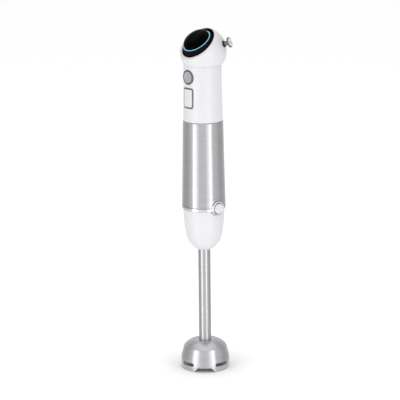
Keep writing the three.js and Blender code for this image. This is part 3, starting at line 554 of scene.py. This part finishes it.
def bell_outline():
    top = BELL_TOP_Z
    dome = curve_through([(TUBE_RADIUS + 0.12, top - 0.35), (10, top), (14, top - 0.35),
                          (17.4, top - 1.3), (20.4, top - 2.7), (23, top - 4.6),
                          (24.9, top - 6.5), (CREASE_RADIUS, CREASE_Z)], 6)
    skirt = curve_through([(CREASE_RADIUS + 0.05, CREASE_Z - 0.15), (26.75, 24.6), (27.75, 20.8),
                           (28.8, 16.8), (29.4, 13.6), (BELL_RADIUS, 10.5)], 6)
    rim = [(BELL_RADIUS, 6), (BELL_RADIUS - 0.02, 0.4), (BELL_RADIUS - 0.35, 0)]
    foot = [(BELL_RADIUS - BELL_WALL, 0), (BELL_RADIUS - BELL_WALL, 8)]
    within = [(r - BELL_WALL, z - 0.4 * BELL_WALL) for r, z in skirt[::3]]
    roof = [(r - 0.7 * BELL_WALL, z - BELL_WALL) for r, z in dome[7::3]]
    bore = [(BELL_BORE, top - 1.4), (BELL_BORE, top - 0.35)]
    return dome + skirt + rim + foot + within[::-1] + roof[::-1] + bore


def bell():
    shell = made("bell", revolved(bell_outline(), 2 * FINE))
    slot = rounded_rectangle(SLOT_LENGTH, SLOT_HEIGHT, SLOT_HEIGHT / 2 - 0.01)
    upright = Matrix.Rotation(math.pi / 2, 4, "X")
    cutters = []
    for k in range(4):
        turn = BELL_TURN + k * math.pi / 2
        diagonal = Matrix.Rotation(turn + math.pi / 4, 4, "Z") @ upright
        straight = Matrix.Translation((0, 0, SLOT_Z)) @ Matrix.Rotation(turn, 4, "Z") @ upright
        cutters.append(made(f"notch_{k}", prism(with_fillets(NOTCH, 1.6), 14, 45), diagonal))
        cutters.append(made(f"slot_{k}", prism(slot, 14, 45), straight))
    carved(shell, cutters)
    bevelled(shell, 0.3, 2, 50)
    return finished(shell, BELL_STEEL, "brushed_steel", "blending_shaft", "bell_guard", angle=14)


# ---------------------------------------------------------------- shaft, housing, sleeve, grip

def shaft_tube():
    low, high = BELL_TOP_Z - 0.3, TUBE_HIGH.z
    inner = TUBE_RADIUS - 1
    outline = softened([(inner, low), (TUBE_RADIUS, low, 0.3), (TUBE_RADIUS, high, 0.4), (inner, high, 0.2)])
    tube = made("tube", revolved(outline, MEDIUM))
    return finished(tube, TUBE_STEEL, "brushed_steel", "blending_shaft", "shaft_tube")


def release_cutter(name, sign, start):
    radius = (RELEASE_HIGH.z - RELEASE_LOW.z) / 2 + 0.3
    return made(name, prism(circle(radius, MEDIUM), start, 45), release_place(sign))


def release_cutters(name, start=16):
    return [release_cutter(f"{name}_{sign}", sign, start) for sign in (1, -1)]


def housing():
    low, high = HOUSING_LOW.z, HOUSING_HIGH.z
    bore = TUBE_RADIUS + 0.3
    outside = curve_through([(8.9, low + 0.1), (13.3, low + 2.9), (17.9, low + 8.5), (20.6, low + 14),
                             (22.5, low + 22), (23.9, low + 32), (24.8, low + 43), (25, high - 0.8)], 7)
    inside = [(22.8, high), (22.1, 184), (19.6, 172), (15.4, 161.4), (11, 159), (11, 172), (bore, 172),
              (bore, low + 0.5)]
    rim = [(25, high - 0.3), (24.8, high)]
    shell = made("housing", revolved(outside + rim + inside, FINE))
    carved(shell, release_cutters("housing_notch"))
    bevelled(shell, 0.25, 2, 50)
    return finished(shell, WHITE, "white_plastic", "blending_shaft", "lower_housing")


TRIM_RADIUS = 26.7
TRIM_BORE = 24.6


def trim():
    """Chrome band between the housing and the sleeve, in a front and a rear piece."""
    low, high = TRIM_LOW.z, TRIM_HIGH.z
    reach = 40
    outline = softened([(TRIM_BORE, low), (TRIM_RADIUS, low, 0.7),
                        (TRIM_RADIUS, high, 0.5), (TRIM_BORE, high)])
    for name, far_side in (("trim_ring_front", (0, reach)), ("trim_ring_rear", (-reach, 0))):
        band = made(name.replace("_ring", ""), revolved(outline, FINE))
        other_half = block((-reach, far_side[0], low - 5), (reach, far_side[1], high + 5))
        carved(band, [made("other_half", other_half)] + release_cutters("trim_notch"))
        finished(band, CHROME, "chrome", "motor_unit", name)


def sleeve():
    low, high = SLEEVE_LOW.z, SLEEVE_HIGH.z
    wall = curve_through([(26.43, low + 1), (25.2, 260), (24.28, high - 1.2)], 8)
    outside = [(26.15, low), (26.4, low + 0.35), *wall, (24.25, high - 0.35), (23.95, high)]
    inside = [(23.3, high), (24.2, 260), (25.45, low)]
    shell = made("sleeve", revolved(outside + inside, FINE))
    carved(shell, release_cutters("sleeve_notch"))
    return finished(shell, STEEL, "brushed_steel", "motor_unit", "steel_sleeve", angle=40)


GRIP_NECK_RADIUS = 22.65
GRIP_FLARE = 1.15


def grip_radius(z):
    """Outer radius of the grip at a height, easing from the sleeve up to the neck."""
    share = (z - GRIP_LOW.z) / (GRIP_HIGH.z - GRIP_LOW.z)
    return GRIP_NECK_RADIUS + GRIP_FLARE * (1 - share) ** 1.25


def grip():
    low, high = GRIP_LOW.z, GRIP_HIGH.z
    rows = 14
    heights = [low + 0.35 + (high - low - 0.7) * k / rows for k in range(rows + 1)]
    outside = [(grip_radius(low) - 0.3, low)] + [(grip_radius(z), z) for z in heights]
    outside += [(grip_radius(high) - 0.1, high + 0.2)]
    inside = [(20.45, high + 0.2), (21.1, 334), (21.6, low)]
    shell = made("grip", revolved(outside + inside, FINE))
    round_hole = prism(circle(TURBO_RADIUS + 0.25, MEDIUM), *THROUGH_GRIP)
    square_hole = prism(rounded_rectangle(POWER_WIDTH + 0.5, POWER_HEIGHT + 0.5, 3.2), *THROUGH_GRIP)
    carved(shell, [made("round_hole", round_hole, FRONT_PLACE),
                   made("square_hole", square_hole, POWER_PLACE)])
    bevelled(shell, 0.25, 2, 50)
    return finished(shell, WHITE, "white_plastic", "motor_unit", "grip_shell")


# ---------------------------------------------------------------- head

DIAL_FACE = 13.2
RIM_SLOPE = math.tan(math.radians(6.5))
DIAL_FLOOR = 7.9
POCKET_RADIUS = 22.5
SPINDLE_BORE = 4.2
HEAD_WALL = 2.2
NECK_BORE = 19.6
COLLAR_TOP_Z = 378.6


def leaning_rim(radius, height, azimuth):
    """Raises the head's flat rim towards the back, keeping the ball's outside on the ball."""
    if height < DIAL_FLOOR + 0.05 or radius < POCKET_RADIUS - 0.1:
        return radius, height
    share = (height - DIAL_FLOOR) / (DIAL_FACE - DIAL_FLOOR)
    raised = height + share * RIM_SLOPE * radius * math.sin(azimuth)
    face = DIAL_FACE + RIM_SLOPE * radius * math.sin(azimuth)
    edge = math.sqrt(HEAD_RADIUS ** 2 - DIAL_FACE ** 2)
    moved_edge = math.sqrt(HEAD_RADIUS ** 2 - face ** 2)
    if radius > edge + 0.01:
        return math.sqrt(HEAD_RADIUS ** 2 - raised ** 2), raised
    return radius + (moved_edge - edge) * (radius - POCKET_RADIUS) / (edge - POCKET_RADIUS), raised


def ball_rows(radius, start, end, rows):
    """Outline of a ball between two latitudes, from the lower end."""
    spots = [start + (end - start) * k / rows for k in range(rows + 1)]
    return [(radius * math.cos(latitude), radius * math.sin(latitude)) for latitude in spots]


def head():
    """A ball with the dial's pocket turned into it, on a short collar."""
    ball = ball_rows(HEAD_RADIUS, -math.pi / 2, math.asin(DIAL_FACE / HEAD_RADIUS), 60)
    ball[0] = (0, -HEAD_RADIUS)
    edge = ball[-1][0]
    rim = softened([ball[-2], (edge, DIAL_FACE, 1.3),
                    (POCKET_RADIUS, DIAL_FACE, 0.6), (POCKET_RADIUS, DIAL_FLOOR)])
    floor = [(SPINDLE_BORE, DIAL_FLOOR), (SPINDLE_BORE, DIAL_FLOOR - HEAD_WALL)]
    hollow = HEAD_RADIUS - HEAD_WALL
    inside = ball_rows(hollow, math.asin((DIAL_FLOOR - HEAD_WALL) / hollow), -math.pi / 2, 20)
    inside[-1] = (0, -hollow)
    outline = [*ball[:-1], *rim[1:], *floor, *inside]
    shell = made("head", revolved(outline, FINE, leaning_rim), DIAL_PLACE)
    below = made("below", block((-60, -60, 300), (60, 60, COLLAR_TOP_Z)))
    neck_hole = made("neck_hole", prism(circle(GLAND_NECK + 0.25), 15, 40), GLAND_PLACE)
    spot_face = made("spot_face", prism(circle(GASKET_RADIUS + 0.2), GASKET_BOTTOM - 0.3, 40), GLAND_PLACE)
    carved(shell, [below, neck_hole, spot_face])
    low = HEAD_LOW.z
    top = COLLAR_TOP_Z + 1.6
    profile = [(NECK_BORE, low), (22.5, low), (22.65, low + 0.15), (22.75, top), (NECK_BORE, top)]
    collar = made("collar", revolved(profile, FINE))
    carved(shell, [collar], "UNION")
    bevelled(shell, 0.2, 2, 60)
    return finished(shell, WHITE, "white_plastic", "motor_unit", "head_shell", angle=36)


# ---------------------------------------------------------------- dial

CUP_RADIUS = 22.2
CUP_BORE = 21.6
DIAL_BASE_TOP = 9.2
SKIRT_FOOT = 9.6
RIDGE_DEPTH = 0.42
SHOULDER = 16.4
CROWN = 24.2
RING_INNER = 17.0
RING_OUTER = 17.9
SQUARENESS = 2.6        # 2 would make the cap a plain dome
RIDGES = 90


def ridged(radius, height, azimuth):
    """Fine ridges on the dial's side wall, fading out at its foot and its shoulder."""
    if radius < RING_OUTER + 0.35:
        return radius, height
    fade = min(1, max(0, min(height - 10.2, 15.7 - height)) / 0.7)
    return radius - RIDGE_DEPTH * fade * (0.5 + 0.5 * math.cos(RIDGES * azimuth)), height


def leaning_lip(radius, height, azimuth):
    """Raises the black cup's lip with the head's rim."""
    share = max(0, height - DIAL_BASE_TOP) / (DIAL_FACE - DIAL_BASE_TOP)
    return radius, height + share * RIM_SLOPE * radius * math.sin(azimuth)


def dial():
    cup_bottom = DIAL_FLOOR + 0.3
    cup_top = DIAL_FACE - 0.3
    outline = softened([(SPINDLE_BORE, cup_bottom), (CUP_RADIUS, cup_bottom),
                        (CUP_RADIUS, cup_top, 0.2), (CUP_BORE, cup_top, 0.2),
                        (CUP_BORE, DIAL_BASE_TOP, 0.4), (SPINDLE_BORE, DIAL_BASE_TOP)])
    base = made("dial_cup", revolved(outline, FINE, leaning_lip), DIAL_PLACE)
    finished(base, GLOSS, "gloss_black", "motor_unit", "dial_base")

    recess = RING_OUTER + 0.1
    shelf = SHOULDER - 1.6
    underside = shelf - 1.6
    seat = SHOULDER - 1.3
    side = [(21, SKIRT_FOOT), (21.1, SKIRT_FOOT + 0.25), (21.08, 10.1), (21, 10.8), (20.6, 12.4),
            (19.8, 14.2), (19, 15.5), (18.6, 15.9), (18.4, SHOULDER - 0.1), (18.25, SHOULDER)]
    within = [(recess, SHOULDER), (recess, shelf), (15, shelf), (15, underside)]
    outline = [(3.3, underside), (3.3, SKIRT_FOOT), *side, *within]
    skirt = made("dial_wall", revolved(outline, RIDGES * 8, ridged), DIAL_PLACE)
    finished(skirt, KNURL, "black_plastic", "speed_dial", "dial_skirt", angle=50)

    outline = softened([(RING_INNER, seat), (RING_OUTER, seat), (RING_OUTER, SHOULDER + 0.05, 0.25),
                        (RING_INNER, SHOULDER + 0.35, 0.25)])
    ring = made("dial_ring", revolved(outline, FINE), DIAL_PLACE)
    finished(ring, LIT, "light_ring", "speed_dial", "dial_light_ring")

    edge = RING_INNER - 0.12
    rise = CROWN - SHOULDER
    rows = 36
    dome = []
    for k in range(rows):
        angle = math.pi / 2 * k / rows
        across = math.cos(angle) ** (2 / SQUARENESS)
        up = math.sin(angle) ** (2 / SQUARENESS)
        dome.append((edge * across, SHOULDER + rise * up))
    cap = made("dial_dome", revolved([(0, seat), (edge, seat), *dome, (0, CROWN)], FINE), DIAL_PLACE)
    finished(cap, GLOSS, "gloss_black", "speed_dial", "dial_cap", angle=50)


# ---------------------------------------------------------------- grip buttons

POWER_FRAME = 1.5


def grip_band(name, proud, thickness):
    rows = 12
    low, high = POWER_LOW.z - 3, POWER_HIGH.z + 3
    heights = [low + (high - low) * k / rows for k in range(rows + 1)]
    outer = [(grip_radius(z) + proud, z) for z in heights]
    inner = [(grip_radius(z) + proud - thickness, z) for z in heights]
    return made(name, revolved(outer + inner[::-1], 240))


def power():
    def plate(name, inset, corner):
        outline = rounded_rectangle(POWER_WIDTH - 2 * inset, POWER_HEIGHT - 2 * inset, corner)
        return made(name, prism(outline, *THROUGH_GRIP), POWER_PLACE)

    bezel = grip_band("power_frame", 0.22, 3)
    carved(bezel, [plate("outer", 0, 3)], "INTERSECT")
    carved(bezel, [plate("inner", POWER_FRAME, 1.7)])
    bevelled(bezel, 0.25, 2, 50)
    finished(bezel, DARK_CHROME, "dark_chrome", "motor_unit", "power_bezel")

    button = grip_band("power_key", 0.48, 3.4)
    carved(button, [plate("key", POWER_FRAME + 0.3, 1.5)], "INTERSECT")
    bevelled(button, 0.45, 3, 50)
    finished(button, WHITE, "white_plastic", "power", "power_button")


def turbo():
    face = -TURBO_LOW.y
    outline = softened([(7.3, face - 4.6), (TURBO_RADIUS, face - 4.6), (TURBO_RADIUS, face, 0.6),
                        (7.9, face, 0.3), (7.3, face - 0.7)])
    bezel = made("turbo_ring", revolved(outline, MEDIUM), FRONT_PLACE)
    finished(bezel, DARK_CHROME, "dark_chrome", "motor_unit", "turbo_bezel")
    edge = softened([(7, face - 0.6), (6.9, face, 0.5), (6.1, face - 0.05)])
    dish = [(4.6, face - 0.22), (3, face - 0.38), (1.5, face - 0.46), (0, face - 0.48)]
    outline = [(0, face - 4), (7, face - 4), *edge, *dish]
    button = made("turbo_key", revolved(outline, MEDIUM), FRONT_PLACE)
    finished(button, SILVER, "silver_button", "turbo", "turbo_button")


# ---------------------------------------------------------------- release buttons

LATCH_ARM_X = 14.6
LATCH_HOOK_X = 17.8


def release(side, sign):
    """A release button with its bezel; the button's stem, arm and hook are one piece with its cap."""
    place = release_place(sign)
    outer = (RELEASE_HIGH.z - RELEASE_LOW.z) / 2
    face = RELEASE_HIGH.x
    outline = softened([(6.2, 21.6), (outer, 21.6), (outer, face, 0.8), (7.3, face, 0.5),
                        (6.5, face - 1.1, 0.3), (6.2, face - 1.4)])
    bezel = made(f"release_ring_{side}", revolved(outline, MEDIUM), place)
    finished(bezel, CHROME, "chrome", "motor_unit", f"release_bezel_{side}")

    face = BUTTON_HIGH.x
    back = face - 6
    spring_seat = [(3.6, back), (3.6, back + 1.7), (4.65, back + 1.7), (4.65, back)]
    front = softened([(5.9, face - 0.9), (5.85, face - 0.15, 0.8), (4.4, face)])
    outline = [(0, back), *spring_seat, (5.9, back), *front, (2.2, face - 0.02), (0, face - 0.03)]
    cap = revolved(outline, MEDIUM)
    cap.transform(place)
    stem = revolved([(0, 14.5), (2.4, 14.5), (2.4, back + 1), (0, back + 1)], 32)
    stem.transform(place)
    arm_x = sign * LATCH_ARM_X
    hook_x = sign * LATCH_HOOK_X
    arm = block((arm_x - 1, -3, 188.5), (arm_x + 1, 3, 205.5))
    hook = block((hook_x - 3.5, -3, 188.4), (hook_x + 3.5, 3, 192.8))
    button = made(f"release_key_{side}", merged(cap, stem, arm, hook))
    finished(button, WHITE, "white_plastic", f"release_{side}", f"release_button_{side}")


# ---------------------------------------------------------------- cord outlet

GLAND_NECK = 2.75
GLAND_ROOT = 24.4
GLAND_TIP = 36.5
GLAND_RADIUS = 6.4
GLAND_BORE = 1.5
GLAND_BUSH_RADIUS = 4.9
GASKET_RADIUS = 3.9
GASKET_BOTTOM = 27.7


def gland():
    bore = GLAND_NECK + 0.3
    outline = softened([(bore, GASKET_BOTTOM), (GASKET_RADIUS, GASKET_BOTTOM), (GASKET_RADIUS, 29, 0.5),
                        (3.5, 29.6, 0.2), (bore, 29.6)])
    gasket = made("gland_gasket", revolved(outline, SMALL), GLAND_PLACE)
    finished(gasket, CAD_FINISHES["rubber"], "rubber", "motor_unit", "cord_gasket")
    tip = GLAND_TIP
    back = tip - 2.2
    seat = GLAND_BUSH_RADIUS + 0.2
    outline = softened([(GLAND_BORE, GLAND_ROOT), (GLAND_NECK, GLAND_ROOT),
                        (GLAND_NECK, back - 0.7, 0.5), (3.3, back, 0.4), (5.5, back, 0.4),
                        (GLAND_RADIUS, back + 0.7, 0.4), (GLAND_RADIUS, tip - 0.5, 0.4),
                        (5.7, tip, 0.3), (seat, tip, 0.15), (seat, tip - 0.8), (GLAND_BORE, tip - 0.8)])
    body = made("gland_body", revolved(outline, SMALL), GLAND_PLACE)
    finished(body, DARK_CHROME, "dark_chrome", "motor_unit", "cord_gland")
    outline = softened([(GLAND_BORE, tip - 0.5), (GLAND_BUSH_RADIUS, tip - 0.5),
                        (GLAND_BUSH_RADIUS, tip + 0.2, 0.3), (GLAND_BORE, tip + 0.1, 0.3)])
    bush = made("gland_insert", revolved(outline, SMALL), GLAND_PLACE)
    finished(bush, WHITE, "white_plastic", "motor_unit", "gland_bush")


# ---------------------------------------------------------------- studio

CAMERA_AZIMUTH = math.radians(51)
CAMERA_DISTANCE = 2.2
CAMERA_HEIGHT = 0.743
CAMERA_PITCH = math.radians(13.6)
CAMERA_ROLL = math.radians(-0.6)
CAMERA_LENS = 168
AIM_OFFSET = 0.0046     # the optical axis passes this far to the left of the blender's


def heading(azimuth):
    return Vector((math.sin(azimuth), -math.cos(azimuth), 0))


def camera():
    toward = heading(CAMERA_AZIMUTH)
    right = Vector((math.cos(CAMERA_AZIMUTH), math.sin(CAMERA_AZIMUTH), 0))
    eye = toward * CAMERA_DISTANCE + Vector((0, 0, CAMERA_HEIGHT))
    target = Vector((0, 0, CAMERA_HEIGHT - CAMERA_DISTANCE * math.tan(CAMERA_PITCH))) - right * AIM_OFFSET
    data = bpy.data.cameras.new("camera")
    data.lens = CAMERA_LENS
    data.sensor_width = 36
    data.clip_end = 100
    eye_object = bpy.data.objects.new("camera", data)
    look = (target - eye).to_track_quat("-Z", "Y").to_matrix().to_4x4()
    eye_object.matrix_world = Matrix.Translation(eye) @ look @ Matrix.Rotation(CAMERA_ROLL, 4, "Z")
    bpy.context.scene.collection.objects.link(eye_object)
    bpy.context.scene.camera = eye_object


STRIP_DISTANCE = 0.6
STRIP_LOW = -0.3
STRIP_HIGH = 0.5
# azimuth from the camera, angle spanned, radiance: a bright strip on each side, and its softer inner edge
STRIPS = {
    "left_strip": (-51, 17, 1.9),
    "left_glow": (-36, 13, 0.7),
    "right_strip": (39.5, 14, 1.9),
    "right_glow": (25, 15, 0.6),
}
OVERHEAD_RADIANCE = 0.5
OVERHEAD_SIZE = 1.5
OVERHEAD_HEIGHT = 1.25
OVERHEAD_SETBACK = 0.25
# places and brightnesses of the sky from behind the blender (0) round to the camera's side (1)
SKY = ((0.0, 0.79), (0.1, 0.73), (0.2, 0.58), (0.44, 0.59), (0.6, 0.82), (1.0, 0.95))


def strip(name, azimuth, degrees, radiance):
    """A tall strip light standing at an azimuth from the front and spanning an angle there."""
    data = bpy.data.lights.new(name, "AREA")
    data.shape = "RECTANGLE"
    data.size = 2 * STRIP_DISTANCE * math.tan(math.radians(degrees) / 2)
    data.size_y = STRIP_HIGH - STRIP_LOW
    data.energy = radiance * math.pi * data.size * data.size_y
    lamp = bpy.data.objects.new(name, data)
    outward = heading(azimuth)
    centre = outward * STRIP_DISTANCE + Vector((0, 0, (STRIP_LOW + STRIP_HIGH) / 2))
    facing = (-outward).to_track_quat("-Z", "Y").to_matrix().to_4x4()
    lamp.matrix_world = Matrix.Translation(centre) @ facing
    lamp.visible_camera = False
    bpy.context.scene.collection.objects.link(lamp)


def overhead():
    """A dim square softbox above the blender, its middle a little behind it."""
    data = bpy.data.lights.new("overhead", "AREA")
    data.size = OVERHEAD_SIZE
    data.energy = OVERHEAD_RADIANCE * math.pi * data.size ** 2
    lamp = bpy.data.objects.new("overhead", data)
    lamp.location = heading(CAMERA_AZIMUTH) * -OVERHEAD_SETBACK + Vector((0, 0, OVERHEAD_HEIGHT))
    lamp.visible_camera = False
    bpy.context.scene.collection.objects.link(lamp)


def sky():
    """Soft light from all round: brightest in front, dimmer to the sides, and plain white to the camera."""
    world = bpy.data.worlds.new("studio")
    world.use_nodes = True
    bpy.context.scene.world = world
    tree = world.node_tree
    add = tree.nodes.new
    link = tree.links.new
    direction = add("ShaderNodeTexCoord").outputs["Generated"]
    along = add("ShaderNodeVectorMath")
    along.operation = "DOT_PRODUCT"
    along.inputs[1].default_value = heading(CAMERA_AZIMUTH)
    link(direction, along.inputs[0])
    share = add("ShaderNodeMapRange")
    share.inputs["From Min"].default_value = -1
    link(along.outputs["Value"], share.inputs["Value"])
    ramp = add("ShaderNodeValToRGB")
    ramp.color_ramp.interpolation = "EASE"
    stops = ramp.color_ramp.elements
    while len(stops) < len(SKY):
        stops.new(0.5)
    for stop, (position, value) in zip(stops, SKY):
        stop.position = position
        stop.color = (value, value * 1.005, value * 1.02, 1)
    link(share.outputs["Result"], ramp.inputs["Fac"])
    soft = tree.nodes["Background"]
    link(ramp.outputs["Color"], soft.inputs["Color"])
    white = add("ShaderNodeBackground")
    mix = add("ShaderNodeMixShader")
    white.inputs["Color"].default_value = (1, 1, 1, 1)
    link(add("ShaderNodeLightPath").outputs["Is Camera Ray"], mix.inputs[0])
    link(soft.outputs[0], mix.inputs[1])
    link(white.outputs[0], mix.inputs[2])
    link(mix.outputs[0], tree.nodes["World Output"].inputs["Surface"])


FLOOR_GLOW_WITH_PAINTED_SHADOW = (0.12, 0.36)               # own light of the floor, near the bell and far from it; the lower value near the bell is a painted shadow round it
PAINTED_SHADOW_RADII = (0.025, 0.11)        # metres from the axis where those two are reached, so the painted shadow spans these radii
PAINTED_SHADE_UNDER_BELL_RADII = (0.027, 0.0285)           # metres over which the glow fades out under the bell, a painted shade there
FLOOR_PATCH_RADIUS = 48


def studio():
    for name, (azimuth, degrees, radiance) in STRIPS.items():
        strip(name, CAMERA_AZIMUTH + math.radians(azimuth), degrees, radiance)
    overhead()
    sky()
    ground = Surface("floor", (0.85, 0.85, 0.85), 0.6, Specular_IOR_Level=0.0)
    ground.vary_colour(ground.noise(0.7), 0.995, 1.0)
    ground.set("Emission Color", (1, 1, 1, 1))
    reach = ground.node("ShaderNodeVectorMath", {0: ground.place()}, operation="LENGTH").outputs["Value"]
    # The floor's glow is lower near the bell: a painted shadow round the bell's foot.
    glow_with_painted_shadow = ground.range(reach, *FLOOR_GLOW_WITH_PAINTED_SHADOW, *PAINTED_SHADOW_RADII)
    # The glow is cut out under the bell: painted shade on the floor inside it.
    painted_shade_under_bell = ground.range(reach, 0, 1, *PAINTED_SHADE_UNDER_BELL_RADII)
    strength = ground.math("MULTIPLY", glow_with_painted_shadow, painted_shade_under_bell)
    ground.tree.links.new(strength, ground.shader.inputs["Emission Strength"])
    table = bmesh.new()
    bmesh.ops.create_grid(table, x_segments=1, y_segments=1, size=15000)
    floor = made("floor", table)
    floor.visible_glossy = False
    patch = made("floor_patch", prism(circle(FLOOR_PATCH_RADIUS, MEDIUM), -2, 0.02))
    for piece in (floor, patch):
        piece.data.materials.append(ground.material)
    bpy.context.scene.view_settings.view_transform = "Standard"


camera()
studio()
finish_cad_nodes()
bell()
shaft_tube()
housing()
trim()
sleeve()
grip()
head()
dial()
power()
turbo()
for side, sign in (("right", 1), ("left", -1)):
    release(side, sign)
gland()
